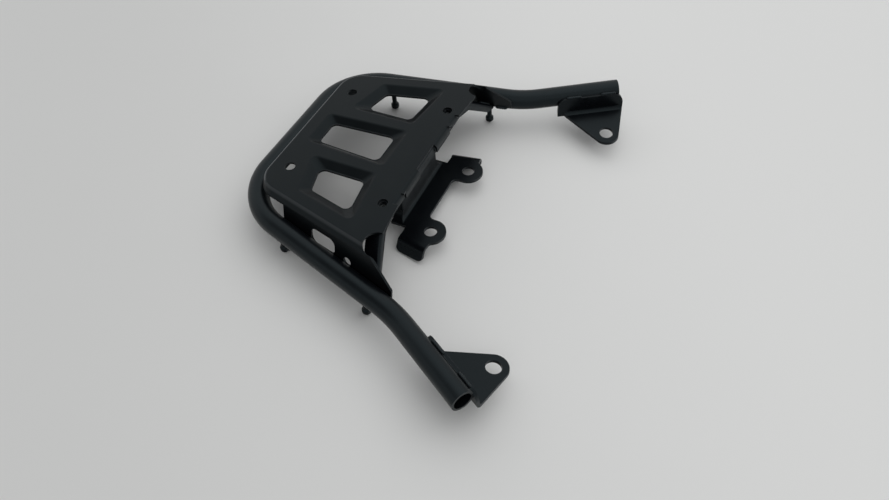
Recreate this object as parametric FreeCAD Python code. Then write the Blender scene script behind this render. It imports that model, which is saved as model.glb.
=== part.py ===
import FreeCAD
import Part
import math
import os
from FreeCAD import Matrix, Vector

# Top case bracket for the tail of a motorbike: a bent steel tube hoop carries a pressed luggage
# plate, a cross beam with a lower two-lug bracket, two folded mounting tabs and four cord hooks.
# Frame: X to the bike's right, Y forwards, Z up. The origin is on the plate's top face, midway
# between its two front bolt holes. The part is its own mirror image in the plane X = 0.
# Lengths are in millimetres and angles in degrees.

# Bent tube
tube_od = 20.0
tube_wall = 2.0
hoop_rear_y = -134.0
hoop_rear_z = -18.5
hoop_corner_x = 98.0
hoop_corner_radius = 60.0
arm_knee_x = 147.0
arm_knee_y = 48.0
arm_knee_z = -34.0
arm_knee_radius = 118.0
arm_end_x = 198.0
arm_end_y = 134.0
arm_end_z = -32.0

# Luggage plate: a flat top, a sloping shoulder and steeper skirts that lie against the tube
plate_thick = 2.0
plate_rear_y = -121.5
plate_rear_half = 82.8
plate_front_y = 10.5
plate_front_half = 115.2
plate_corner_radius = 24.0
edge_radius = 3.5
shoulder_drop = 6.0
shoulder_run = 5.0
shoulder_rear_run = 1.0
skirt_bite = 0.8
skirt_below_axis = 3.5
skirt_rear_end_y = -86.0
rear_flange_half = 56.0
rim_depth = 7.0

# Bolt holes of the plate
hole_rear_y = -102.0
hole_rear_half = 57.8
hole_front_y = 0.0
hole_front_half = 66.7
plate_hole_r = 4.9

# Pressed recesses, each a funnel down to a window: corners as (x, y) from the rear inner one, and
# the run of the walls at the rear, outer, front and inner side
recess_depth = 5.0
recess_corner_radius = 4.5
recess_rim_radius = 4.0
window_rim = 1.0
window_corner_radius = 6.0
side_window = [(45.5, -78.5), (73.0, -71.0), (83.5, -25.5), (45.5, -30.5)]
side_recess_runs = [8.0, 8.5, 7.5, 7.8]
middle_window = [(-14.0, -99.0), (14.0, -99.0), (17.5, -32.5), (-17.5, -32.5)]
middle_recess_runs = [6.0, 6.0, 9.5, 6.0]

# Front edge of the plate, with pairs of lips turned down
front_centre_y = 8.5
front_outer_y = 16.5
front_outer_half = 93.0
lip_y = 12.0
lip_bend_radius = 5.0
inner_lip_start = 18.0
inner_lip_end = 46.0
inner_lip_depth = 9.0
outer_lip_start = 50.0
outer_lip_end = 64.0
outer_lip_depth = 5.2

# Rounded corner cut of the plate and the ear that runs forwards from it down to the tube
scoop_x = 109.0
scoop_y = 16.5
scoop_radius = 11.5
ear_top_y = 11.0
ear_tip_y = 40.5
ear_tip_z = -26.0

# Openings in each side skirt
skirt_window_y = -37.5
skirt_window_z = -19.0
skirt_window_length = 28.0
skirt_window_height = 15.0
skirt_window_radius = 6.0
skirt_hole_y = -9.0
skirt_hole_z = -24.0
skirt_hole_r = 4.0

# Cross beam under the front of the plate
beam_thick = 2.5
beam_rear_y = -7.5
beam_front_y = 9.0
beam_flange_depth = 10.0
beam_straight_half = 88.0
beam_end_gap = 6.5
beam_end_rise = 3.7
beam_turn_half = 74.0
beam_forward_slope = 15.5
beam_bend_radius = 3.5
beam_hole_r = 3.6

# Weld nuts under the front holes
nut_sides = 6
nut_flats = 10.0
nut_height = 5.0
nut_bore_r = 2.5

# Lower bracket: a column under the beam and a foot with two lugs
bracket_thick = 3.0
bracket_bend_radius = 4.0
column_front_y = 0.0
column_half = 37.0
column_depth = 9.0
column_flare_radius = 9.0
column_edge_radius = 2.5
foot_top_z = -49.0
foot_rear_y = 6.0
foot_front_y = 21.5
foot_end_front_y = 35.0
foot_end_rear_reach = 17.4
foot_end_front_reach = 22.4
foot_end_depth = 13.0
foot_end_splay = 25.0
foot_end_inset = 6.0
foot_end_corner_radius = 5.0
foot_end_radius = 4.0
lug_half = 43.1
lug_y = 31.1
lug_radius = 14.5
lug_hole_r = 6.1
lug_root_radius = 6.0
lug_outer_root_radius = 3.0

# Mounting tabs, laid out along the straight end of the arm from the knee
tab_thick = 3.2
tab_start = 35.5
tab_lug_start = 42.5
tab_overhang = 4.0
tab_above_axis = 4.0
tab_bite = 0.8
tab_bend_radius = 4.0
tab_lug_along = 80.3
tab_lug_across = 43.0
tab_lug_drop = 19.9
tab_lug_slope = 10.0
tab_lug_radius = 12.8
tab_hole_r = 6.9
tab_rear_radius = 8.0
tab_front_radius = 12.0

# Cord hooks under the tube
hook_rear_y = -87.0
hook_front_y = 14.0
hook_rod_r = 2.5
hook_reach = 32.8
hook_head_r = 4.3
hook_head_length = 3.4
hook_head_taper = 2.0
hook_tip_chamfer = 2.0

# Long enough to pass right through the part in a cut, and small enough to be nothing
through = 400.0
tolerance = 0.001

tube_r = tube_od / 2


def rounded_path(points, radii):
    """Lines through 3-D points, with an arc of the given radius at each inner point."""
    edges = []
    start = points[0]
    for i in range(1, len(points) - 1):
        corner = points[i]
        back = (points[i - 1] - corner).normalize()
        ahead = (points[i + 1] - corner).normalize()
        half = back.getAngle(ahead) / 2
        tangent = radii[i - 1] / math.tan(half)
        first = corner + back * tangent
        last = corner + ahead * tangent
        inward = (back + ahead).normalize()
        middle = corner + inward * (radii[i - 1] / math.sin(half) - radii[i - 1])
        edges.append(Part.LineSegment(start, first).toShape())
        edges.append(Part.Arc(first, middle, last).toShape())
        start = last
    edges.append(Part.LineSegment(start, points[-1]).toShape())
    return Part.Wire(edges)


def outline_edges(points, radii, z):
    """Lines and arcs of a closed level outline; a radius of zero leaves a corner sharp."""
    corners = [Vector(x, y, z) for x, y in points]
    count = len(corners)
    stops = []
    for i, corner in enumerate(corners):
        if radii[i] == 0:
            stops.append((corner, None, corner))
            continue
        back = (corners[i - 1] - corner).normalize()
        ahead = (corners[(i + 1) % count] - corner).normalize()
        half = back.getAngle(ahead) / 2
        tangent = radii[i] / math.tan(half)
        inward = (back + ahead).normalize()
        middle = corner + inward * (radii[i] / math.sin(half) - radii[i])
        stops.append((corner + back * tangent, middle, corner + ahead * tangent))
    edges = []
    for i, (first, middle, last) in enumerate(stops):
        following = stops[(i + 1) % count][0]
        if middle is not None:
            edges.append(Part.Arc(first, middle, last).toShape())
        if last.distanceToPoint(following) > tolerance:
            edges.append(Part.LineSegment(last, following).toShape())
    return edges


def rounded_outline(points, radii, z=0.0):
    """Closed level outline through (x, y) corners as one wire."""
    return Part.Wire(outline_edges(points, radii, z))


def sharp(points):
    """Corner radii of an outline without rounding."""
    return [0] * len(points)


def frustum(levels):
    """Solid through level outlines with matching edges, each a list of lines and arcs."""
    faces = [Part.Face(Part.Wire(levels[0])), Part.Face(Part.Wire(levels[-1]))]
    for upper, lower in zip(levels, levels[1:]):
        faces += [wall_face(above, below) for above, below in zip(upper, lower)]
    shell = Part.makeShell(faces)
    shell.sewShape()
    solid = Part.makeSolid(shell)
    if solid.Volume < 0:
        solid.reverse()
    return solid


def wall_face(above, below):
    """Wall between two edges, flat between lines and ruled between arcs."""
    if isinstance(above.Curve, Part.Line):
        first, last = [v.Point for v in above.Vertexes]
        below_first, below_last = [v.Point for v in below.Vertexes]
        return Part.Face(Part.makePolygon([first, last, below_last, below_first, first]))
    return Part.makeRuledSurface(above, below)


def prism(points, radii, z_low, z_high):
    """Upright solid on a rounded outline."""
    face = Part.Face(rounded_outline(points, radii, z_low))
    return face.extrude(Vector(0, 0, z_high - z_low))


def side_prism(points, x_low, x_high):
    """Solid with a sharp outline of (y, z) points, from x_low to x_high."""
    corners = [Vector(x_low, y, z) for y, z in points]
    face = Part.Face(Part.makePolygon(corners + corners[:1]))
    return face.extrude(Vector(x_high - x_low, 0, 0))


def front_prism(points, y_low, y_high):
    """Solid with a sharp outline of (x, z) points, from y_low to y_high."""
    corners = [Vector(x, y_low, z) for x, z in points]
    face = Part.Face(Part.makePolygon(corners + corners[:1]))
    return face.extrude(Vector(0, y_high - y_low, 0))


def box(x_low, x_high, y_low, y_high, z_low, z_high):
    """Box between two corners."""
    return Part.makeBox(x_high - x_low, y_high - y_low, z_high - z_low, Vector(x_low, y_low, z_low))


def mirrored(shape):
    """The same shape on the bike's left."""
    return shape.mirror(Vector(0, 0, 0), Vector(1, 0, 0))


def both_sides(shape):
    """A right-hand cutter or lug together with its mirror image."""
    return [shape, mirrored(shape)]


def edges_at(shape, z, y_limit):
    """Edges of a shape that lie wholly at one height, behind a front limit."""
    found = []
    for edge in shape.Edges:
        box_of_edge = edge.BoundBox
        level = abs(box_of_edge.ZMin - z) < tolerance and abs(box_of_edge.ZMax - z) < tolerance
        if level and box_of_edge.YMin < y_limit - tolerance:
            found.append(edge)
    return found


def arm_axis(y):
    """Point of the tube's centreline on the straight run between hoop corner and knee."""
    share = (y - hoop_rear_y) / (arm_knee_y - hoop_rear_y)
    x = hoop_corner_x + share * (arm_knee_x - hoop_corner_x)
    z = hoop_rear_z + share * (arm_knee_z - hoop_rear_z)
    return Vector(x, y, z)


def hoop_path():
    """Centreline of the tube from the left open end to the right one."""
    right = [
        Vector(hoop_corner_x, hoop_rear_y, hoop_rear_z),
        Vector(arm_knee_x, arm_knee_y, arm_knee_z),
        Vector(arm_end_x, arm_end_y, arm_end_z),
    ]
    left = [Vector(-p.x, p.y, p.z) for p in reversed(right)]
    radii = [arm_knee_radius, hoop_corner_radius, hoop_corner_radius, arm_knee_radius]
    return rounded_path(left + right, radii)


def bent_rod(radius):
    """Solid round bar along the tube's centreline."""
    path = hoop_path()
    start = path.Vertexes[0].Point
    heading = path.Edges[0].tangentAt(path.Edges[0].FirstParameter)
    ring = Part.Wire(Part.Circle(start, heading, radius).toShape())
    return path.makePipeShell([ring], True, False)


def side_half(y):
    """Half width of the plate's flat top at one place along it."""
    lean = (plate_front_half - plate_rear_half) / (plate_front_y - plate_rear_y)
    return plate_rear_half + lean * (y - plate_rear_y)


def skirt_run():
    """Outward run of the skirts for each unit of drop, so that they bite into the tube's flank."""
    middle_y = (plate_rear_y + plate_front_y) / 2
    axis = arm_axis(middle_y)
    ahead = arm_axis(middle_y + 1) - axis
    flank = axis.x - tube_r * math.hypot(ahead.x, ahead.y) / ahead.y
    return (flank + skirt_bite - side_half(middle_y) - shoulder_run) / (-axis.z - shoulder_drop)


def rear_run():
    """The same for the flange at the rear."""
    flank = hoop_rear_y + tube_r - skirt_bite
    return (plate_rear_y - shoulder_rear_run - flank) / (-hoop_rear_z - shoulder_drop)


def plate_level(z, side_grow, rear_grow, front_y):
    """Outline of the plate's pressing at one height, running on past its front edge."""
    rear = plate_rear_y - rear_grow
    rear_half = side_half(rear) + side_grow
    front_half = side_half(front_y) + side_grow
    corners = [(-front_half, front_y), (-rear_half, rear), (rear_half, rear), (front_half, front_y)]
    radius = plate_corner_radius + (side_grow + rear_grow) / 2
    return outline_edges(corners, [0, radius, radius, 0], z)


def pressing(inset):
    """Sharp solid under the plate's top, shoulder and skirts, inset by the sheet for its inner side."""
    front_y = ear_tip_y + tube_od
    bottom = arm_knee_z - tube_od
    shoulder_slant = math.hypot(shoulder_run, shoulder_drop) / shoulder_drop
    skirt_slant = math.hypot(1, skirt_run())
    drop = -shoulder_drop - bottom
    levels = [
        plate_level(
            -inset,
            shoulder_run * inset / shoulder_drop - inset * shoulder_slant,
            shoulder_rear_run * inset / shoulder_drop - inset,
            front_y,
        ),
        plate_level(
            -shoulder_drop,
            shoulder_run - inset * (shoulder_slant + skirt_slant) / 2,
            shoulder_rear_run - inset,
            front_y,
        ),
        plate_level(
            bottom,
            shoulder_run + skirt_run() * drop - inset * skirt_slant,
            shoulder_rear_run + rear_run() * drop - inset,
            front_y,
        ),
    ]
    return frustum(levels)


def grown(points, margins):
    """Convex outline, given anticlockwise, with each side moved outwards by its own margin."""
    up = Vector(0, 0, 1)
    corners = [Vector(x, y, 0) for x, y in points]
    following = corners[1:] + corners[:1]
    outward = [(b - a).normalize().cross(up) for a, b in zip(corners, following)]
    moved = []
    for i, corner in enumerate(corners):
        before, after = outward[i - 1], outward[i]
        shift = after.cross(up) * margins[i - 1] - before.cross(up) * margins[i]
        place = corner + shift / before.cross(after).z
        moved.append((place.x, place.y))
    return moved


def recess_levels(window, runs, sheet):
    """Edges of a recess's rim and floor, on the plate's upper side or one sheet below it."""
    spreads = [sheet * math.tan(math.atan2(recess_depth, run) / 2) for run in runs]
    rim = grown(window, [window_rim + spread + run for spread, run in zip(spreads, runs)])
    floor = grown(window, [window_rim + spread for spread in spreads])
    floor_radius = window_corner_radius + window_rim
    return [
        outline_edges(rim, [recess_corner_radius] * len(rim), -sheet),
        outline_edges(floor, [floor_radius] * len(floor), -sheet - recess_depth),
    ]


def all_recesses(sheet):
    """Levels of the right and the middle recess, which is its own mirror image."""
    return [
        recess_levels(side_window, side_recess_runs, sheet),
        recess_levels(middle_window, middle_recess_runs, sheet),
    ]


def on_outline(edge, outline):
    """Whether an edge runs along an outline."""
    middle = edge.valueAt((edge.FirstParameter + edge.LastParameter) / 2)
    return outline.distToShape(Part.Vertex(middle))[0] < tolerance


def upper_form():
    """Solid under the plate's upper side, with its edge and its recesses' rims rounded."""
    solid = pressing(0.0)
    solid = solid.makeFillet(edge_radius, edges_at(solid, 0.0, ear_tip_y))
    rims = []
    for levels in all_recesses(0.0):
        solid = solid.cut(both_sides(frustum(levels)))
        rims += both_sides(Part.Wire(levels[0]))
    edges = [e for e in solid.Edges if any(on_outline(e, rim) for rim in rims)]
    return solid.makeFillet(recess_rim_radius, edges)


def lower_form():
    """Solid under the plate's lower side, one sheet inside the upper form, with plain bends."""
    solid = pressing(plate_thick)
    for levels in all_recesses(plate_thick):
        solid = solid.cut(both_sides(frustum(levels)))
    return solid


def front_edge_y(x):
    """Front edge of the plate beside its lips, which runs forwards to the outer corners."""
    share = (x - inner_lip_end) / (front_outer_half - inner_lip_end)
    return lip_y + share * (front_outer_y - lip_y)


def front_cutters():
    """What is cut off ahead of the plate: its front edge, the corner scoops and the ears' slope."""
    base = lip_y - lip_bend_radius
    right = [
        (0, front_centre_y),
        (inner_lip_start, front_centre_y),
        (inner_lip_start, base),
        (inner_lip_end, base),
        (inner_lip_end, front_edge_y(inner_lip_end)),
        (outer_lip_start, front_edge_y(outer_lip_start)),
        (outer_lip_start, base),
        (outer_lip_end, base),
        (outer_lip_end, front_edge_y(outer_lip_end)),
        (front_outer_half, front_outer_y),
        (scoop_x, front_outer_y),
        (scoop_x, through),
        (0, through),
    ]
    ahead = prism(right, sharp(right), -through, through)
    scoop = Part.makeCylinder(scoop_radius, 2 * through, Vector(scoop_x, scoop_y, -through))
    ear = [
        (ear_top_y, through),
        (ear_top_y, 0),
        (ear_tip_y, ear_tip_z),
        (ear_tip_y, -through),
        (through, -through),
        (through, through),
    ]
    slope = side_prism(ear, scoop_x, through)
    return both_sides(ahead) + both_sides(scoop) + both_sides(slope)


def below_skirts():
    """All that lies below the skirts' lower edge, which runs along beside the tube."""
    rear = hoop_rear_y - tube_od
    rear_z = arm_axis(rear).z - skirt_below_axis
    front_z = arm_axis(through).z - skirt_below_axis
    corners = [(rear, rear_z), (through, front_z), (through, -through), (rear, -through)]
    return side_prism(corners, -through, through)


def skirt_cutters():
    """What is cut from the skirts: their lower edge, the rear corners and the openings."""
    corner = box(rear_flange_half, through, -through, skirt_rear_end_y, -through, -rim_depth)
    half_length = skirt_window_length / 2
    half_height = skirt_window_height / 2
    outline = [
        (skirt_window_y - half_length, skirt_window_z - half_height),
        (skirt_window_y + half_length, skirt_window_z - half_height),
        (skirt_window_y + half_length, skirt_window_z + half_height),
        (skirt_window_y - half_length, skirt_window_z + half_height),
    ]
    inside = side_half(skirt_window_y)
    window = turned_side(prism(outline, [skirt_window_radius] * len(outline), inside, through))
    hole = Part.makeCylinder(
        skirt_hole_r, through, Vector(inside, skirt_hole_y, skirt_hole_z), Vector(1, 0, 0)
    )
    return [below_skirts()] + both_sides(corner) + both_sides(window) + both_sides(hole)


def lip(x_low, x_high, depth):
    """One stretch of the plate's front edge turned down, with the sheet's bend."""
    base = lip_y - lip_bend_radius
    inner = lip_bend_radius - plate_thick
    slant = math.sqrt(0.5)
    low = -lip_bend_radius
    outer_bend = Part.Arc(
        Vector(x_low, base, 0),
        Vector(x_low, base + lip_bend_radius * slant, low + lip_bend_radius * slant),
        Vector(x_low, lip_y, low),
    )
    inner_bend = Part.Arc(
        Vector(x_low, base + inner, low),
        Vector(x_low, base + inner * slant, low + inner * slant),
        Vector(x_low, base, -plate_thick),
    )
    drop = [
        Vector(x_low, lip_y, low),
        Vector(x_low, lip_y, -depth),
        Vector(x_low, base + inner, -depth),
        Vector(x_low, base + inner, low),
    ]
    edges = [outer_bend.toShape()]
    edges += Part.makePolygon(drop).Edges
    edges += [inner_bend.toShape()]
    edges += [Part.makeLine(Vector(x_low, base, -plate_thick), Vector(x_low, base, 0))]
    face = Part.Face(Part.Wire(edges))
    return face.extrude(Vector(x_high - x_low, 0, 0))


def carrier_plate():
    """The pressed luggage plate with its recesses, windows, skirts, ears and lips."""
    sheet = upper_form().cut(lower_form())
    cutters = front_cutters() + skirt_cutters()
    for window in (side_window, middle_window):
        radii = [window_corner_radius] * len(window)
        cutters += both_sides(prism(window, radii, -through, through))
    for x, y in [(hole_rear_half, hole_rear_y), (hole_front_half, hole_front_y)]:
        cutters += both_sides(Part.makeCylinder(plate_hole_r, through, Vector(x, y, -through / 2)))
    sheet = sheet.cut(cutters)
    sheet = sheet.cut(bent_rod(tube_r))
    sheet = max(sheet.Solids, key=solid_volume)
    lips = both_sides(lip(inner_lip_start, inner_lip_end, inner_lip_depth))
    lips += both_sides(lip(outer_lip_start, outer_lip_end, outer_lip_depth))
    return sheet.fuse(lips).removeSplitter()


def solid_volume(solid):
    """Volume of a solid, to pick the largest."""
    return solid.Volume


def turned_side(shape):
    """A shape drawn flat, with its x along Y, its y along Z and its height along X."""
    placed = shape.copy()
    placed.Placement = FreeCAD.Placement(Matrix(0, 0, 1, 0, 1, 0, 0, 0, 0, 1, 0, 0, 0, 0, 0, 1))
    return placed


def main_tube():
    """The bent hoop, open at both ends."""
    return bent_rod(tube_r).cut(bent_rod(tube_r - tube_wall))


def cross_beam():
    """Angle-section beam under the plate, whose sloping arms end on the skirts."""
    top = -plate_thick
    axis = arm_axis(beam_front_y)
    end_half = axis.x - tube_r - beam_end_gap
    slope = math.atan2(top - axis.z - beam_end_rise, end_half - beam_straight_half)
    reach = arm_knee_x
    end_z = top - (reach - beam_straight_half) * math.tan(slope)
    upper = [(-reach, end_z), (-beam_straight_half, top), (beam_straight_half, top), (reach, end_z)]
    inner_half = beam_straight_half - beam_thick * math.tan(slope / 2)
    under_z = end_z - beam_thick / math.cos(slope)
    under = [(reach, under_z), (inner_half, top - beam_thick)]
    under += [(-inner_half, top - beam_thick), (-reach, under_z)]
    skirt = [(x, z - beam_flange_depth) for x, z in reversed(upper)]
    web = front_prism(upper + under, -through, through)
    flange = front_prism(upper + skirt, -through, through)
    forward = math.tan(math.radians(beam_forward_slope)) * (reach - beam_turn_half)
    front = [
        (reach, beam_front_y + forward),
        (beam_turn_half, beam_front_y),
        (-beam_turn_half, beam_front_y),
        (-reach, beam_front_y + forward),
    ]
    rear_shift = beam_front_y - beam_rear_y
    rear = [(x, y - rear_shift) for x, y in reversed(front)]
    behind = [(x, y - beam_thick) for x, y in reversed(front)]
    web = web.common(prism(front + rear, sharp(front + rear), -through, through))
    flange = flange.common(prism(front + behind, sharp(front + behind), -through, through))
    beam = web.fuse(flange).removeSplitter()
    beam = beam.makeFillet(beam_bend_radius, front_top_edges(beam, front, upper))
    beam = beam.common(pressing(plate_thick)).cut(below_skirts())
    holes = both_sides(
        Part.makeCylinder(beam_hole_r, through, Vector(hole_front_half, hole_front_y, -through / 2))
    )
    return beam.cut(holes).cut(bent_rod(tube_r))


def front_top_edges(beam, front, upper):
    """Edges where the beam's top turns down into its front flange."""
    walls = [Vector(x, y, 0) for x, y in front]
    tops = [Vector(x, 0, z) for x, z in upper]
    found = []
    for edge in beam.Edges:
        ends = [v.Point for v in edge.Vertexes]
        on_wall = [near_line(walls, p, Vector(0, 0, 1)) for p in ends]
        on_top = [near_line(tops, p, Vector(0, 1, 0)) for p in ends]
        if all(on_wall) and all(on_top):
            found.append(edge)
    return found


def near_line(corners, point, normal):
    """Whether a point seen along a normal lies on a line of corners."""
    line = Part.makePolygon(corners)
    flat = point - normal * point.dot(normal)
    return line.distToShape(Part.Vertex(flat))[0] < tolerance


def weld_nut():
    """Hexagon nut under the beam at a front hole, flats facing front and rear."""
    top = -plate_thick - beam_thick
    step = 2 * math.pi / nut_sides
    corner_r = nut_flats / 2 / math.cos(step / 2)
    corners = [(corner_r * math.cos(i * step), corner_r * math.sin(i * step)) for i in range(nut_sides)]
    nut = prism(corners, sharp(corners), top - nut_height, top)
    bore = Part.makeCylinder(nut_bore_r, nut_height, Vector(0, 0, top - nut_height))
    nut = nut.cut(bore)
    nut.translate(Vector(hole_front_half, hole_front_y, 0))
    return nut


def lower_bracket():
    """Folded bracket: a three-sided column that flares into a foot with lugs and ends."""
    top = -plate_thick - beam_thick
    back_y = column_front_y - column_depth
    wall_y = column_front_y - bracket_thick
    under = foot_top_z - bracket_thick
    bend_end = column_front_y + bracket_bend_radius
    flare_half = column_half + column_flare_radius
    flare_z = foot_top_z + column_flare_radius
    profile = [
        (wall_y, flare_z),
        (wall_y, under),
        (bend_end, under),
        (bend_end, foot_top_z),
        (column_front_y, foot_top_z),
        (column_front_y, flare_z),
    ]
    radii = [0, bracket_bend_radius + bracket_thick, 0, 0, bracket_bend_radius, 0]
    fold = turned_side(prism(profile, radii, -flare_half, flare_half))
    centre = Vector(flare_half, back_y, flare_z)
    forwards = Vector(0, 1, 0)
    outside = Part.makeCylinder(column_flare_radius, through, centre, forwards)
    sheet_r = column_flare_radius + bracket_thick
    sheet = Part.makeCylinder(sheet_r, column_depth, centre, forwards)
    inner_half = column_half - bracket_thick
    quarter = box(inner_half, flare_half, back_y, column_front_y, under, flare_z)
    side = sheet.cut(outside).common(quarter)
    corners = [
        (-column_half, back_y),
        (column_half, back_y),
        (column_half, column_front_y),
        (-column_half, column_front_y),
    ]
    wall = prism(corners, [0, 0, column_edge_radius, column_edge_radius], flare_z, top)
    wall = wall.cut(box(-inner_half, inner_half, back_y, wall_y, flare_z, top))
    fold = fold.cut(both_sides(outside))
    pieces = [fold, foot(bend_end, under, flare_half)] + both_sides(side)
    return wall.fuse(pieces).removeSplitter()


def foot(rear_y, z_low, middle_half):
    """Foot of the lower bracket: lugs ahead, and both ends turned down."""
    middle = [
        (-middle_half, rear_y),
        (middle_half, rear_y),
        (middle_half, foot_front_y),
        (-middle_half, foot_front_y),
    ]
    plate = prism(middle, sharp(middle), z_low, foot_top_z)
    root = lug_half - lug_radius
    rear_end = Vector(lug_half + foot_end_rear_reach, foot_rear_y, 0)
    front_end = Vector(lug_half + foot_end_front_reach, foot_end_front_y, 0)
    outward = (front_end - rear_end).normalize().cross(Vector(0, 0, 1))
    rear_in = rear_end - outward * foot_end_inset
    front_in = front_end - outward * foot_end_inset
    end = [
        (root, foot_rear_y),
        (rear_in.x, rear_in.y),
        (front_in.x, front_in.y),
        (lug_half, front_in.y),
        (lug_half, lug_y),
        (root, lug_y),
    ]
    wing = prism(end, sharp(end), z_low, foot_top_z)
    down = foot_end(rear_end, front_end, outward)
    height = foot_top_z - z_low
    nose = Part.makeCylinder(lug_radius, height, Vector(lug_half, lug_y, z_low))
    pieces = []
    for piece in (wing, down, nose):
        pieces += both_sides(piece)
    plate = plate.fuse(pieces).removeSplitter()
    plate = plate.makeFillet(lug_root_radius, upright_edges(plate, root, foot_front_y))
    outer_root = lug_half + math.sqrt(lug_radius ** 2 - (front_in.y - lug_y) ** 2)
    plate = plate.makeFillet(lug_outer_root_radius, upright_edges(plate, outer_root, front_in.y))
    holes = both_sides(Part.makeCylinder(lug_hole_r, height, Vector(lug_half, lug_y, z_low)))
    return plate.cut(holes)


def upright_edges(shape, half, y):
    """The two upright edges at one place to the right and left."""
    found = []
    for edge in shape.Edges:
        span = edge.BoundBox
        level = max(abs(abs(span.Center.x) - half), abs(span.Center.y - y))
        if level < tolerance and span.ZLength > tolerance and span.XLength < tolerance:
            found.append(edge)
    return found


def foot_end(rear, front, outward):
    """Right end of the foot, bent down and splayed outwards, with rounded lower corners."""
    splay = math.radians(foot_end_splay)
    lean = Vector(math.sin(splay), -math.cos(splay), 0)
    inward = Vector(-math.cos(splay), -math.sin(splay), 0)
    tip = lean * (foot_end_depth / math.cos(splay))
    tip_in = tip + inward * bracket_thick
    half_bend = math.radians(90 - foot_end_splay) / 2
    inner_x = -bracket_thick * math.tan(half_bend)
    profile = [
        (-foot_end_inset, 0),
        (-foot_end_inset, -bracket_thick),
        (inner_x, -bracket_thick),
        (tip_in.x, tip_in.y),
        (tip.x, tip.y),
        (0, 0),
    ]
    radii = [0, 0, foot_end_radius, 0, 0, foot_end_radius + bracket_thick]
    length = (front - rear).Length
    end = prism(profile, radii, 0, length)
    middle = (tip + tip_in) / 2
    lower = []
    for edge in end.Edges:
        centre = edge.BoundBox.Center
        across = math.hypot(centre.x - middle.x, centre.y - middle.y)
        if across < tolerance and edge.BoundBox.ZLength < tolerance:
            lower.append(edge)
    end = end.makeFillet(foot_end_corner_radius, lower)
    back = outward.cross(Vector(0, 0, 1))
    end.Placement = FreeCAD.Placement(
        Matrix(
            outward.x, 0, back.x, front.x,
            outward.y, 0, back.y, front.y,
            0, 1, 0, foot_top_z,
            0, 0, 0, 1,
        )
    )
    return end


def tangent_point(outside, centre, radius, side):
    """Where a line from an outside point touches a circle, on its left (1) or right (-1)."""
    away = centre - outside
    turn = math.asin(radius / away.Length) * side
    length = math.sqrt(away.Length ** 2 - radius ** 2)
    heading = math.atan2(away.y, away.x) + turn
    return outside + Vector(length * math.cos(heading), length * math.sin(heading), 0)


def runs_at(edge, x):
    """Whether an edge runs straight across at one x."""
    span = edge.BoundBox
    return abs(span.Center.x - x) < tolerance and span.XLength < tolerance


def mounting_tab():
    """Right tab: a flange along the tube's inner flank, folded inboard into a drilled lug."""
    knee = Vector(arm_knee_x, arm_knee_y, arm_knee_z)
    along = Vector(arm_end_x, arm_end_y, arm_end_z) - knee
    tab_end = along.Length + tab_overhang
    slope = math.radians(tab_lug_slope)
    inner_c = tube_r - tab_bite
    outer_c = inner_c + tab_thick
    reach = tab_lug_across + 2 * tab_lug_radius
    drop = tab_thick / math.cos(slope)

    def lug_top(across):
        return -tab_lug_drop + (tab_lug_across - across) * math.tan(slope)

    profile = [
        (inner_c, tab_above_axis),
        (inner_c, lug_top(inner_c) - drop),
        (reach, lug_top(reach) - drop),
        (reach, lug_top(reach)),
        (outer_c, lug_top(outer_c)),
        (outer_c, tab_above_axis),
    ]
    radii = [0, tab_bend_radius + tab_thick, 0, 0, tab_bend_radius, 0]
    strip = turned_side(prism(profile, radii, tab_start, tab_end))
    for end, radius in [(tab_start, tab_rear_radius), (tab_end, tab_front_radius)]:
        across = [e for e in edges_at(strip, tab_above_axis, through) if runs_at(e, end)]
        strip = strip.makeFillet(radius, across)
    nose = Vector(tab_lug_along, tab_lug_across, 0)
    rear = Vector(tab_lug_start, outer_c, 0)
    front = Vector(tab_end, outer_c, 0)
    rear_touch = tangent_point(rear, nose, tab_lug_radius, 1)
    front_touch = tangent_point(front, nose, tab_lug_radius, -1)
    tip = nose + Vector(0, tab_lug_radius, 0)
    base = [front, Vector(tab_end, 0, 0), Vector(tab_start, 0, 0), Vector(tab_start, outer_c, 0), rear]
    edges = [Part.makeLine(front_touch, front)]
    edges += Part.makePolygon(base).Edges
    edges += [Part.makeLine(rear, rear_touch), Part.Arc(rear_touch, tip, front_touch).toShape()]
    outline = Part.Face(Part.Wire(edges))
    outline.translate(Vector(0, 0, -through / 2))
    tab = strip.common(outline.extrude(Vector(0, 0, through)))
    axis = Vector(0, math.sin(slope), math.cos(slope))
    centre = Vector(tab_lug_along, tab_lug_across, -tab_lug_drop)
    tab = tab.cut(Part.makeCylinder(tab_hole_r, 4 * tab_thick, centre - axis * 2 * tab_thick, axis))
    ahead = along.normalize()
    inboard = Vector(-ahead.y, ahead.x, 0).normalize()
    up = ahead.cross(inboard)
    tab.Placement = FreeCAD.Placement(
        Matrix(
            ahead.x, inboard.x, up.x, knee.x,
            ahead.y, inboard.y, up.y, knee.y,
            ahead.z, inboard.z, up.z, knee.z,
            0, 0, 0, 1,
        )
    )
    return tab.cut(bent_rod(tube_r))


def cord_hook(y):
    """Turned peg with a tapered and chamfered head, standing on the underside of the right arm."""
    tip_z = -hook_reach
    head_z = tip_z + hook_tip_chamfer
    neck_z = head_z + hook_head_length
    profile = [
        (0, tip_z),
        (hook_head_r - hook_tip_chamfer, tip_z),
        (hook_head_r, head_z),
        (hook_head_r, neck_z),
        (hook_rod_r, neck_z + hook_head_taper),
        (hook_rod_r, -tube_r / 2),
        (0, -tube_r / 2),
    ]
    corners = [Vector(x, 0, z) for x, z in profile]
    half = Part.Face(Part.makePolygon(corners + corners[:1]))
    peg = half.revolve(Vector(0, 0, 0), Vector(0, 0, 1), 360)
    peg.translate(arm_axis(y))
    return peg.cut(bent_rod(tube_r))


def export(shape, node):
    """Write one named piece."""
    shape.exportStep("parts/" + node + ".step")


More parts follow.
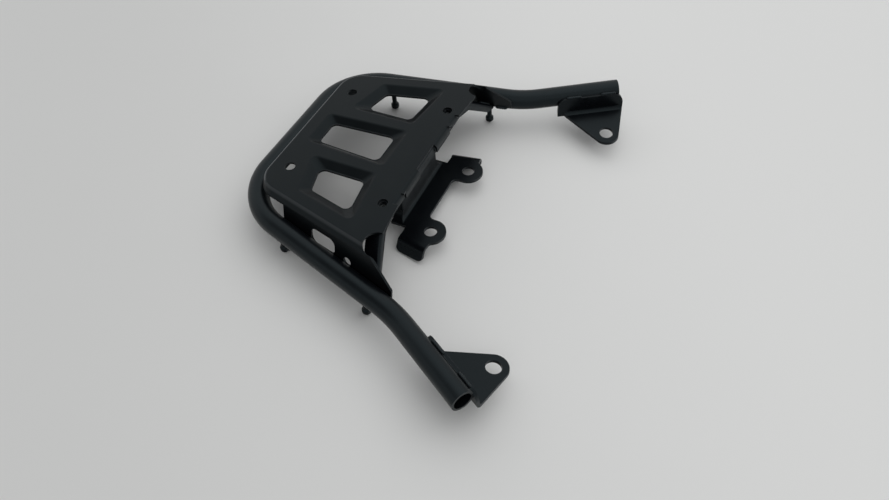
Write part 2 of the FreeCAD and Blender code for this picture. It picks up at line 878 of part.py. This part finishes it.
os.makedirs("parts", exist_ok=True)
export(main_tube(), "main_tube")
export(carrier_plate(), "carrier_plate")
export(cross_beam(), "cross_beam")
export(lower_bracket(), "lower_bracket")
handed = {
    "weld_nut": weld_nut(),
    "mounting_tab": mounting_tab(),
    "rear_cord_hook": cord_hook(hook_rear_y),
    "front_cord_hook": cord_hook(hook_front_y),
}
for name, shape in handed.items():
    export(shape, "right_" + name)
    export(mirrored(shape), "left_" + name)
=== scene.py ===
import math

import bmesh
import bpy
from mathutils import Matrix, Vector


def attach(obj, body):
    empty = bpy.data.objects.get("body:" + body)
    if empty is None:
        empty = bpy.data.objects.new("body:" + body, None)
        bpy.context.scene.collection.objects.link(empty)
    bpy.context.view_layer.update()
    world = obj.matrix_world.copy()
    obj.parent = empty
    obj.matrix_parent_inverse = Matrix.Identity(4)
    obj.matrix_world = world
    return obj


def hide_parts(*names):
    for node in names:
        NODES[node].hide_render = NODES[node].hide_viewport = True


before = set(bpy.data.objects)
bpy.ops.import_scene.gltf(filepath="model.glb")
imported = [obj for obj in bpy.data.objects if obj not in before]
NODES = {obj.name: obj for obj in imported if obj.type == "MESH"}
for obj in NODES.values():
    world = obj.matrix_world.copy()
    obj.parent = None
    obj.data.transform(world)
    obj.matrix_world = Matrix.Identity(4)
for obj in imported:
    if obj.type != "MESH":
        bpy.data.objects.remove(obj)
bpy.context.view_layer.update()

# Sizes of the carrier that its dressing follows, in metres, as in the solids
TUBE_R = 0.010
CORNER = Vector((0.098, -0.134, -0.0185))
KNEE = Vector((0.147, 0.048, -0.034))
ARM_END = Vector((0.198, 0.134, -0.032))
SKIRT_BELOW_AXIS = 0.0035
PLATE_HALF, PLATE_LEAN = 0.1126, 0.2455  # half width at the origin, and its growth forwards
HOOK_PLACES = {"rear_cord_hook": -0.087, "front_cord_hook": 0.014}
HOOK_ROD_R, HOOK_HEAD_R, HOOK_REACH = 0.0025, 0.0043, 0.0328
NUT_HALF, NUT_TOP, NUT_HEIGHT, NUT_BORE_R = 0.0667, -0.0045, 0.005, 0.0025


def arm_axis(y):
    """Point of the right arm's centreline between hoop corner and knee."""
    return CORNER.lerp(KNEE, (y - CORNER.y) / (KNEE.y - CORNER.y))


# Shader helpers


def group(name, inputs, outputs):
    """Empty shader group with named number sockets, and its input and output nodes."""
    tree = bpy.data.node_groups.new(name, "ShaderNodeTree")
    for label, value in inputs.items():
        socket = tree.interface.new_socket(label, in_out="INPUT", socket_type="NodeSocketFloat")
        socket.default_value = value
    for label in outputs:
        tree.interface.new_socket(label, in_out="OUTPUT", socket_type="NodeSocketFloat")
    return tree, tree.nodes.new("NodeGroupInput"), tree.nodes.new("NodeGroupOutput")


def place(tree, shared, **values):
    """A shared effect placed in a material with its own values."""
    node = tree.nodes.new("ShaderNodeGroup")
    node.node_tree = shared
    for label, value in values.items():
        node.inputs[label].default_value = value
    return node


def add(tree, kind, **settings):
    """New node with its settings; a setting that names a socket fills that socket."""
    node = tree.nodes.new(kind)
    for key, value in settings.items():
        if hasattr(node, key):
            setattr(node, key, value)
        else:
            node.inputs[key].default_value = value
    return node


def math_node(tree, operation, first, second=None):
    """Maths on sockets or plain numbers, giving its result socket."""
    node = add(tree, "ShaderNodeMath", operation=operation)
    for socket, value in zip(node.inputs, (first, second)):
        if isinstance(value, float):
            socket.default_value = value
        elif value is not None:
            tree.links.new(value, socket)
    return node.outputs[0]


def remap(tree, value, limits, result=(0.0, 1.0)):
    """Value between two limits spread smoothly over another range."""
    node = add(tree, "ShaderNodeMapRange", interpolation_type="SMOOTHSTEP", clamp=True)
    tree.links.new(value, node.inputs["Value"])
    for label, number in zip(("From Min", "From Max", "To Min", "To Max"), limits + result):
        node.inputs[label].default_value = number
    return node.outputs["Result"]


def noise(tree, scale, detail, roughness):
    """Noise on object coordinates."""
    coords = tree.nodes.new("ShaderNodeTexCoord")
    node = add(tree, "ShaderNodeTexNoise", Scale=scale, Detail=detail, Roughness=roughness)
    tree.links.new(coords.outputs["Object"], node.inputs["Vector"])
    return node.outputs["Fac"]


def split(tree, vector):
    """The X, Y and Z of a vector socket."""
    parts = tree.nodes.new("ShaderNodeSeparateXYZ")
    tree.links.new(vector, parts.inputs[0])
    return parts.outputs


def along(tree, vector, direction):
    """How far a vector socket points in a fixed direction."""
    node = add(tree, "ShaderNodeVectorMath", operation="DOT_PRODUCT")
    node.inputs[1].default_value = direction
    tree.links.new(vector, node.inputs[0])
    return node.outputs["Value"]


def tint(tree, factor, low, high):
    """Two colours, or a colour socket and a colour, mixed by a mask."""
    node = add(tree, "ShaderNodeMix", data_type="RGBA")
    tree.links.new(factor, node.inputs["Factor"])
    for slot, value in ((6, low), (7, high)):
        if isinstance(value, tuple):
            node.inputs[slot].default_value = value + (1.0,)
        else:
            tree.links.new(value, node.inputs[slot])
    return node.outputs[2]


# Effects shared by the finishes. Each noise is its scale per metre, detail and roughness.

PEEL_NOISE = (620.0, 2.0, 0.5)
PORE_NOISE = (2600.0, 1.0, 0.5)
DRIFT_NOISE = (21.0, 4.0, 0.55)
EDGE_WEAR_AND_HIGHLIGHT_NOISE = (160.0, 4.0, 0.55)
DUST_NOISE = (34.0, 5.0, 0.65)
SPECK_NOISE = (900.0, 1.0, 0.55)
FORWARD_LIGHT_NOISE = (55.0, 4.0, 0.6)
PORE_SHARE = 0.35
EDGE_REACH = 0.0006
EDGE_BEND = (0.02, 0.22)
FACES_UP = (0.35, 0.95)
FACES_FORWARDS = (0.55, 0.95)


def powder_grain_group():
    """Orange-peel skin of powder coat: a height for bump and a slow drift of tone about nought."""
    tree, given, result = group("powder_grain", {"Peel": 1.0}, ["Height", "Tone"])
    pores = math_node(tree, "MULTIPLY", noise(tree, *PORE_NOISE), PORE_SHARE)
    skin = math_node(tree, "ADD", noise(tree, *PEEL_NOISE), pores)
    height = math_node(tree, "MULTIPLY", skin, given.outputs["Peel"])
    tree.links.new(height, result.inputs["Height"])
    tone = math_node(tree, "SUBTRACT", noise(tree, *DRIFT_NOISE), 0.5)
    tree.links.new(tone, result.inputs["Tone"])
    return tree


def edge_wear_and_highlight_group():
    """Mask of sharp edges where the coat has thinned, broken up along their length; it is partly
    wear and partly painted highlight on rounded edges.
    """
    tree, given, result = group("edge_wear_and_highlight", {"Amount": 0.6}, ["Mask"])
    rounded = add(tree, "ShaderNodeBevel", samples=4, Radius=EDGE_REACH)
    facing = tree.nodes.new("ShaderNodeNewGeometry")
    dot = add(tree, "ShaderNodeVectorMath", operation="DOT_PRODUCT")
    tree.links.new(rounded.outputs["Normal"], dot.inputs[0])
    tree.links.new(facing.outputs["True Normal"], dot.inputs[1])
    # Edge lightening: partly thinned coat, partly painted highlight on rounded edges
    edge = remap(tree, math_node(tree, "SUBTRACT", 1.0, dot.outputs["Value"]), EDGE_BEND)
    patchy = remap(tree, noise(tree, *EDGE_WEAR_AND_HIGHLIGHT_NOISE), (0.42, 0.62), (0.15, 1.0))
    broken = math_node(tree, "MULTIPLY", edge, patchy)
    mask = math_node(tree, "MULTIPLY", broken, given.outputs["Amount"])
    tree.links.new(mask, result.inputs["Mask"])
    return tree


def dust_and_forward_light_group():
    """Mask of fine dust in patches and specks on what faces up, plus painted light that lightens
    what faces forwards.
    """
    tree, given, result = group("dust_and_forward_light", {"Amount": 0.3, "Film": 0.1}, ["Mask"])
    normal = split(tree, tree.nodes.new("ShaderNodeNewGeometry").outputs["Normal"])
    patches = remap(tree, noise(tree, *DUST_NOISE), (0.45, 0.75), (0.1, 0.7))
    specks = remap(tree, noise(tree, *SPECK_NOISE), (0.70, 0.76))
    lying = math_node(tree, "MAXIMUM", patches, specks)
    lying = math_node(tree, "MULTIPLY", lying, remap(tree, normal["Z"], FACES_UP))
    lying = math_node(tree, "MULTIPLY", lying, given.outputs["Amount"])
    # Painted light: what faces forwards is lightened
    forward_light_mask = remap(tree, noise(tree, *FORWARD_LIGHT_NOISE), (0.3, 0.7), (0.6, 1.0))
    forward_light_mask = math_node(tree, "MULTIPLY", forward_light_mask, remap(tree, normal["Y"], FACES_FORWARDS))
    forward_light_mask = math_node(tree, "MULTIPLY", forward_light_mask, given.outputs["Film"])
    tree.links.new(math_node(tree, "ADD", lying, forward_light_mask), result.inputs["Mask"])
    return tree


GRAIN = powder_grain_group()
EDGE_WEAR_AND_HIGHLIGHT = edge_wear_and_highlight_group()
DUST_AND_FORWARD_LIGHT = dust_and_forward_light_group()


# Finishes

COAT_TINT = (0.74, 0.93, 1.0, 1.0)
# Colour for thinned edges and for painted highlights
WEAR_AND_HIGHLIGHT_COLOUR = (0.100, 0.106, 0.112)
# Colour for dust and for painted light on forward faces
DUST_AND_LIGHT_COLOUR = (0.142, 0.155, 0.162)
TONE_SWING = (-0.25, 0.25)
ROUGH_SWING = 0.05
DUST_DULLS = 0.5
WEAR_POLISHES = 0.08
PEEL_STRENGTH, PEEL_DEPTH = 0.22, 0.00012
# Where the painted highlight on the plate's upper bend lies
RIM_TILT = (0.90, 0.998)
RIM_HEIGHT = (-0.0030, -0.0008)
RIM_REAR = (-0.118, -0.110)
RIM_SIDE = (PLATE_HALF - 0.004, PLATE_HALF - 0.001)
RIM_SIDE_SHARE = 0.35


def painted_bend_highlight(tree, amount):
    """Mask of a painted highlight on the plate's upper bend at the rear and the sides."""
    normal = split(tree, tree.nodes.new("ShaderNodeNewGeometry").outputs["Normal"])
    point = split(tree, tree.nodes.new("ShaderNodeTexCoord").outputs["Object"])
    tilted = remap(tree, normal["Z"], RIM_TILT, (amount, 0.0))
    top = remap(tree, point["Z"], RIM_HEIGHT)
    rear = remap(tree, point["Y"], RIM_REAR, (1.0, 0.0))
    widening = math_node(tree, "MULTIPLY", point["Y"], PLATE_LEAN)
    across = math_node(tree, "SUBTRACT", math_node(tree, "ABSOLUTE", point["X"]), widening)
    side = remap(tree, across, RIM_SIDE, (0.0, RIM_SIDE_SHARE))
    rim = math_node(tree, "MULTIPLY", math_node(tree, "MAXIMUM", rear, side), top)
    return math_node(tree, "MULTIPLY", tilted, rim)


def black_coat(name, deep, pale, gleam, rough, peel, edge_wear_and_highlight_amount, dust=0.0, forward_light=0.0, bend_highlight=0.0):
    """Satin coat with drifting tone, thin edges that are partly painted highlight, a little dust,
    painted light on what faces forwards, and a painted highlight on the plate's upper bend.
    """
    material = bpy.data.materials.new(name)
    material.use_nodes = True
    tree = material.node_tree
    shader = tree.nodes["Principled BSDF"]
    shader.inputs["Specular IOR Level"].default_value = gleam
    shader.inputs["Specular Tint"].default_value = COAT_TINT
    grain = place(tree, GRAIN, Peel=peel)
    wear_and_highlight = place(tree, EDGE_WEAR_AND_HIGHLIGHT, Amount=edge_wear_and_highlight_amount).outputs["Mask"]
    # Painted highlight on the plate's upper bend, joined to the edge mask
    if bend_highlight:
        wear_and_highlight = math_node(tree, "MAXIMUM", wear_and_highlight, painted_bend_highlight(tree, bend_highlight))
    dust_and_light_mask = place(tree, DUST_AND_FORWARD_LIGHT, Amount=dust, Film=forward_light).outputs["Mask"]
    colour = tint(tree, remap(tree, grain.outputs["Tone"], TONE_SWING), deep, pale)
    # Edges lightened, partly wear and partly painted highlight, with the painted highlight on the
    # plate's upper bend
    colour = tint(tree, wear_and_highlight, colour, WEAR_AND_HIGHLIGHT_COLOUR)
    # Dust on what faces up, and painted light on what faces forwards
    colour = tint(tree, dust_and_light_mask, colour, DUST_AND_LIGHT_COLOUR)
    tree.links.new(colour, shader.inputs["Base Color"])
    rough_range = (rough - ROUGH_SWING, rough + ROUGH_SWING)
    gloss = remap(tree, grain.outputs["Tone"], TONE_SWING, rough_range)
    gloss = math_node(tree, "ADD", gloss, math_node(tree, "MULTIPLY", dust_and_light_mask, DUST_DULLS))
    gloss = math_node(tree, "SUBTRACT", gloss, math_node(tree, "MULTIPLY", wear_and_highlight, WEAR_POLISHES))
    tree.links.new(gloss, shader.inputs["Roughness"])
    bump = add(tree, "ShaderNodeBump", Strength=PEEL_STRENGTH, Distance=PEEL_DEPTH)
    tree.links.new(grain.outputs["Height"], bump.inputs["Height"])
    tree.links.new(bump.outputs["Normal"], shader.inputs["Normal"])
    return material


TUBE_COAT = black_coat(
    "tube_coat", deep=(0.0018, 0.0023, 0.0032), pale=(0.0030, 0.0036, 0.0047),
    gleam=0.25, rough=0.30, peel=1.0, edge_wear_and_highlight_amount=0.40, dust=0.012, forward_light=0.10,
)
PLATE_COAT = black_coat(
    "plate_coat", deep=(0.0020, 0.0024, 0.0030), pale=(0.0034, 0.0038, 0.0045),
    gleam=0.17, rough=0.34, peel=1.1, edge_wear_and_highlight_amount=0.60, dust=0.016, forward_light=0.22, bend_highlight=0.9,
)
BRACKET_COAT = black_coat(
    "bracket_coat", deep=(0.0016, 0.0020, 0.0030), pale=(0.0028, 0.0033, 0.0044),
    gleam=0.19, rough=0.30, peel=1.0, edge_wear_and_highlight_amount=0.60, dust=0.010, forward_light=0.26,
)
WELD_COAT = black_coat(
    "weld_coat", deep=(0.0020, 0.0025, 0.0034), pale=(0.0042, 0.0048, 0.0058),
    gleam=0.30, rough=0.28, peel=1.6, edge_wear_and_highlight_amount=0.30, dust=0.010, forward_light=0.20,
)
THREAD_STEEL = black_coat(
    "thread_steel", deep=(0.030, 0.029, 0.028), pale=(0.060, 0.058, 0.055),
    gleam=0.50, rough=0.40, peel=0.6, edge_wear_and_highlight_amount=0.20,
)

OWN_COATS = {"main_tube": TUBE_COAT, "carrier_plate": PLATE_COAT}
for name, node in NODES.items():
    node.data.materials.clear()
    node.data.materials.append(OWN_COATS.get(name, BRACKET_COAT))


# Weld beads

BEAD_STEP = 0.0008
BEAD_SIDES = 8
RIPPLE, RIPPLE_TURN = 0.16, 2.0 * math.pi / 3.0
WANDER, WANDER_TURN = 0.06, 0.37
END_SIZE, END_GROWTH = 0.45, 0.28
OFF_TUBE = 0.0002
BELOW_EDGE = 0.0008


def piece(name, form, material):
    """Finished mesh as a smooth piece of the carrier."""
    bmesh.ops.recalc_face_normals(form, faces=form.faces)
    for face in form.faces:
        face.smooth = True
    mesh = bpy.data.meshes.new(name)
    form.to_mesh(mesh)
    form.free()
    mesh.materials.append(material)
    solid = bpy.data.objects.new(name, mesh)
    bpy.context.scene.collection.objects.link(solid)
    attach(solid, "root")
    return solid


def stretch(first, last):
    """Points along a straight seam, a bead step apart."""
    count = max(4, round((last - first).length / BEAD_STEP))
    return [first.lerp(last, i / count) for i in range(count + 1)]


def bead(form, route, radius, closed=False):
    """Weld bead along a seam: rippled rings bridged in turn; an open one narrows to closed ends."""
    count = len(route)
    loops = []
    for i, point in enumerate(route):
        before = route[i - 1] if closed or i else point
        after = route[(i + 1) % count] if closed or i + 1 < count else point
        turn = (after - before).to_track_quat("Z", "Y").to_matrix().to_4x4()
        swell = 1.0 + RIPPLE * math.sin(i * RIPPLE_TURN) + WANDER * math.sin(i * WANDER_TURN)
        if not closed:
            swell *= min(1.0, END_SIZE + END_GROWTH * min(i, count - 1 - i))
        matrix = Matrix.Translation(point) @ turn @ Matrix.Scale(radius * swell, 4)
        ring = bmesh.ops.create_circle(form, segments=BEAD_SIDES, radius=1.0, matrix=matrix)
        loops.append(list({edge for vert in ring["verts"] for edge in vert.link_edges}))
    following = loops[1:] + (loops[:1] if closed else [])
    for near, far in zip(loops, following):
        bmesh.ops.bridge_loops(form, edges=near + far)
    if not closed:
        for loop in (loops[0], loops[-1]):
            bmesh.ops.contextual_create(form, geom=loop)


def flipped(route):
    """The same seam on the bike's left."""
    return [Vector((-p.x, p.y, p.z)) for p in route]


def both_sides(name, seams, radius, material, closed=False):
    """One piece of all beads of a kind, on both sides."""
    form = bmesh.new()
    for seam in seams:
        bead(form, seam, radius, closed)
        bead(form, flipped(seam), radius, closed)
    return piece(name, form, material)


def arm_frame(start, end):
    """Directions along the right arm, inboard from it, and up from both."""
    ahead = (end - start).normalized()
    inboard = Vector((-ahead.y, ahead.x, 0.0)).normalized()
    return ahead, inboard, ahead.cross(inboard)


def skirt_seams():
    """Stitches along the skirts' lower edges, on the tube's inner flank."""
    spans = [(-0.080, -0.058), (-0.018, 0.004), (0.022, 0.034)]
    _, inboard, up = arm_frame(CORNER, KNEE)
    offset = inboard * (TUBE_R + OFF_TUBE) - up * (SKIRT_BELOW_AXIS + BELOW_EDGE)
    return [stretch(arm_axis(a) + offset, arm_axis(b) + offset) for a, b in spans]


def rear_seams():
    """Stitch on each half of the rear flange's lower edge."""
    y, z = CORNER.y + TUBE_R + OFF_TUBE, CORNER.z - SKIRT_BELOW_AXIS - BELOW_EDGE
    return [stretch(Vector((0.020, y, z)), Vector((0.050, y, z)))]


def tab_seams():
    """Stitches along the top edge of each mounting tab's flange, on the tube."""
    spans = [(0.044, 0.060), (0.080, 0.096)]
    off_flank, above_axis = TUBE_R + 0.0004, 0.0042
    ahead, inboard, up = arm_frame(KNEE, ARM_END)
    offset = KNEE + inboard * off_flank + up * above_axis
    return [stretch(offset + ahead * a, offset + ahead * b) for a, b in spans]


def bracket_seams():
    """Stitches where the lower bracket's column meets the cross beam."""
    y, z = 0.0004, NUT_TOP - 0.0004
    return [stretch(Vector((0.009, y, z)), Vector((0.030, y, z)))]


def beam_seams():
    """Stitches across the ends of the cross beam's arms, on the skirts."""
    return [stretch(Vector((0.1236, 0.0075, -0.0297)), Vector((0.1274, 0.0187, -0.0325)))]


def lip_seams():
    """Short beads between the inner ends of the front lips and the cross beam."""
    return [stretch(Vector((0.0172, 0.0094, -0.0036)), Vector((0.0172, 0.0100, -0.0085)))]


def collar_seams():
    """Rings round the hooks' roots, following the tube's underside."""
    steps, reach = 24, HOOK_ROD_R + 0.0003
    ahead, inboard, _ = arm_frame(CORNER, KNEE)
    collars = []
    for y in HOOK_PLACES.values():
        ring = []
        for i in range(steps):
            turn = i * 2.0 * math.pi / steps
            spoke = Vector((math.cos(turn), math.sin(turn), 0.0)) * reach
            drop = math.sqrt((TUBE_R + OFF_TUBE) ** 2 - spoke.dot(inboard) ** 2)
            rise = spoke.dot(ahead) * ahead.z
            ring.append(arm_axis(y) + spoke + Vector((0.0, 0.0, rise - drop)))
        collars.append(ring)
    return collars


both_sides("skirt_welds", skirt_seams(), 0.0017, WELD_COAT)
both_sides("rear_flange_welds", rear_seams(), 0.0017, WELD_COAT)
both_sides("tab_welds", tab_seams(), 0.0015, WELD_COAT)
both_sides("bracket_welds", bracket_seams(), 0.0017, WELD_COAT)
both_sides("beam_end_welds", beam_seams(), 0.0016, WELD_COAT)
both_sides("lip_welds", lip_seams(), 0.0009, WELD_COAT)
both_sides("hook_collars", collar_seams(), 0.0008, WELD_COAT, closed=True)


# Cord hooks with smoothly turned heads. Heights are measured up from the tip.

HOOK_DOME, HOOK_BAND, HOOK_TAPER, HOOK_NECK = 0.0026, 0.0054, 0.0078, 0.0085
ROOT_IN_TUBE = 0.001
TAPER_STEPS, DOME_STEPS, HOOK_STEPS = 4, 6, 32
SAME_POINT = 0.000001


def hook_profile():
    """Radius and depth below the tube's axis, from the root in the tube to the rounded tip."""
    outline = [(HOOK_ROD_R, TUBE_R - ROOT_IN_TUBE), (HOOK_ROD_R, HOOK_REACH - HOOK_NECK)]
    for i in range(TAPER_STEPS + 1):
        share = i / TAPER_STEPS
        ease = share * share * (3.0 - 2.0 * share)
        radius = HOOK_ROD_R + (HOOK_HEAD_R - HOOK_ROD_R) * ease
        outline.append((radius, HOOK_REACH - HOOK_TAPER + share * (HOOK_TAPER - HOOK_BAND)))
    outline.append((HOOK_HEAD_R, HOOK_REACH - (HOOK_DOME + HOOK_BAND) / 2))
    for i in range(DOME_STEPS + 1):
        turn = i * math.pi / (2 * DOME_STEPS)
        depth = HOOK_REACH - HOOK_DOME + HOOK_DOME * math.sin(turn)
        outline.append((HOOK_HEAD_R * math.cos(turn), depth))
    return outline


def turned_hook(name, side, y):
    """One hook turned about its own upright axis."""
    axis = arm_axis(y)
    centre = Vector((side * axis.x, axis.y, axis.z))
    form = bmesh.new()
    verts = [form.verts.new(centre + Vector((r, 0.0, -depth))) for r, depth in hook_profile()]
    edges = [form.edges.new(pair) for pair in zip(verts, verts[1:])]
    bmesh.ops.spin(
        form, geom=verts + edges, cent=centre, axis=(0.0, 0.0, 1.0), dvec=(0.0, 0.0, 0.0),
        angle=2.0 * math.pi, steps=HOOK_STEPS, use_merge=True, use_duplicate=False,
    )
    bmesh.ops.remove_doubles(form, verts=form.verts, dist=SAME_POINT)
    rim = [edge for edge in form.edges if edge.is_boundary]
    bmesh.ops.contextual_create(form, geom=rim)
    hook = piece(name + "_turned", form, BRACKET_COAT)
    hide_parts(name)


for place_name, place_y in HOOK_PLACES.items():
    turned_hook("right_" + place_name, 1.0, place_y)
    turned_hook("left_" + place_name, -1.0, place_y)


# Threads of the weld nuts under the front holes

THREAD_TURNS, THREAD_STEPS = 5, 18
THREAD_R, THREAD_INSET = 0.0003, 0.0004


def thread_route():
    """Rising turns round the right nut's bore."""
    count = THREAD_TURNS * THREAD_STEPS
    bottom, rise = NUT_TOP - NUT_HEIGHT + THREAD_INSET, NUT_HEIGHT - 2.0 * THREAD_INSET
    route = []
    for i in range(count + 1):
        turn = i * 2.0 * math.pi / THREAD_STEPS
        spoke = Vector((math.cos(turn), math.sin(turn), 0.0)) * NUT_BORE_R
        route.append(Vector((NUT_HALF, 0.0, bottom + i * rise / count)) + spoke)
    return route


both_sides("nut_threads", [thread_route()], THREAD_R, THREAD_STEEL)


# Stage: a pale floor that the hooks stand on, soft light and the camera

FLOOR_HALF = 12.0
CLOTH_DIM, CLOTH_PALE = (0.72, 0.72, 0.715), (0.86, 0.86, 0.855)
CLOTH_PALER_SIDE = (-0.60, 0.80, 0.0)
CLOTH_SPREAD = (-0.35, 0.40)
CLOTH_NOISE, CLOTH_NOISE_SHARE = (5.0, 4.0, 0.55), 0.12
CLOTH_ROUGH, CLOTH_GLEAM = 0.95, 0.1


def pale_cloth():
    """Matt pale cloth, paler to one side, with a faint drift of tone."""
    material = bpy.data.materials.new("pale_cloth")
    material.use_nodes = True
    tree = material.node_tree
    shader = tree.nodes["Principled BSDF"]
    point = tree.nodes.new("ShaderNodeTexCoord").outputs["Object"]
    blotches = math_node(tree, "MULTIPLY", noise(tree, *CLOTH_NOISE), CLOTH_NOISE_SHARE)
    slope = math_node(tree, "ADD", along(tree, point, CLOTH_PALER_SIDE), blotches)
    colour = tint(tree, remap(tree, slope, CLOTH_SPREAD), CLOTH_DIM, CLOTH_PALE)
    tree.links.new(colour, shader.inputs["Base Color"])
    shader.inputs["Roughness"].default_value = CLOTH_ROUGH
    shader.inputs["Specular IOR Level"].default_value = CLOTH_GLEAM
    return material


def floor():
    """Large flat sheet through the tips of the hooks."""
    rear, front = [arm_axis(y) for y in HOOK_PLACES.values()]
    lean = math.atan2(front.z - rear.z, front.y - rear.y)
    under = Matrix.Translation(Vector((0.0, rear.y, rear.z - HOOK_REACH)))
    form = bmesh.new()
    bmesh.ops.create_grid(form, x_segments=1, y_segments=1, size=FLOOR_HALF)
    bmesh.ops.transform(form, matrix=under @ Matrix.Rotation(lean, 4, "X"), verts=form.verts)
    mesh = bpy.data.meshes.new("floor")
    form.to_mesh(mesh)
    form.free()
    mesh.materials.append(pale_cloth())
    sheet = bpy.data.objects.new("floor", mesh)
    bpy.context.scene.collection.objects.link(sheet)
    return sheet


floor()

LAMP_AT = Vector((-0.8, 0.5, 2.0))
LAMP_SIZE, LAMP_POWER, LAMP_COLOUR = 2.2, 6.0, (1.0, 0.995, 0.98)


def ceiling_light():
    """Square soft lamp overhead, turned to the part."""
    lamp = bpy.data.lights.new("ceiling_light", "AREA")
    lamp.shape = "SQUARE"
    lamp.size = LAMP_SIZE
    lamp.energy = LAMP_POWER
    lamp.color = LAMP_COLOUR
    holder = bpy.data.objects.new("ceiling_light", lamp)
    holder.location = LAMP_AT
    holder.rotation_euler = (-LAMP_AT).to_track_quat("-Z", "Y").to_euler()
    bpy.context.scene.collection.objects.link(holder)


ceiling_light()

# Light of the room at the horizon, its walls as seen, its ceiling, and what the dim patch leaves
ROOM_HORIZON, ROOM_WALLS, ROOM_ABOVE, ROOM_DIMMED = 0.03, 0.58, 0.92, 0.27
ROOM_RISE, WALL_RISE = (0.05, 0.75), (0.05, 0.60)
ROOM_COLOUR = (0.99, 1.0, 1.0, 1.0)
DIM_PATCH, DIM_EDGE = (0.461, -0.421, 0.781), (0.84, 0.98)


def room():
    """Room light from above with one dim patch; its pale walls show to the camera and in gloss."""
    world = bpy.data.worlds.new("room")
    world.use_nodes = True
    tree = world.node_tree
    heading = tree.nodes.new("ShaderNodeTexCoord").outputs["Generated"]
    height = split(tree, heading)["Z"]
    lighting = remap(tree, height, ROOM_RISE, (ROOM_HORIZON, ROOM_ABOVE))
    walls = remap(tree, height, WALL_RISE, (ROOM_WALLS, ROOM_ABOVE))
    path = tree.nodes.new("ShaderNodeLightPath").outputs
    seen = math_node(tree, "MAXIMUM", path["Is Camera Ray"], path["Is Glossy Ray"])
    extra = math_node(tree, "MULTIPLY", math_node(tree, "SUBTRACT", walls, lighting), seen)
    level = math_node(tree, "ADD", lighting, extra)
    dimmed = remap(tree, along(tree, heading, DIM_PATCH), DIM_EDGE, (1.0, ROOM_DIMMED))
    background = tree.nodes["Background"]
    background.inputs["Color"].default_value = ROOM_COLOUR
    tree.links.new(math_node(tree, "MULTIPLY", level, dimmed), background.inputs["Strength"])
    return world


bpy.context.scene.world = room()

# Camera at the photograph's viewpoint
EYE = Vector((0.4210, 0.2538, 0.4479))
AHEAD = Vector((-0.5601, -0.3109, -0.7679))
UP = Vector((-0.7117, -0.2940, 0.6381))
FOCAL_PIXELS, IMAGE_WIDTH = 714.38, 889
SENSOR_WIDTH, NEAREST = 36.0, 0.01

lens = bpy.data.cameras.new("photo_camera")
lens.sensor_fit = "HORIZONTAL"
lens.sensor_width = SENSOR_WIDTH
lens.lens = SENSOR_WIDTH * FOCAL_PIXELS / IMAGE_WIDTH
lens.clip_start = NEAREST
camera = bpy.data.objects.new("photo_camera", lens)
right = AHEAD.cross(UP).normalized()
above = right.cross(AHEAD).normalized()
turn = Matrix((right, above, -AHEAD.normalized())).transposed().to_4x4()
camera.matrix_world = Matrix.Translation(EYE) @ turn
bpy.context.scene.collection.objects.link(camera)
bpy.context.scene.camera = camera
bpy.context.scene.view_settings.view_transform = "Standard"
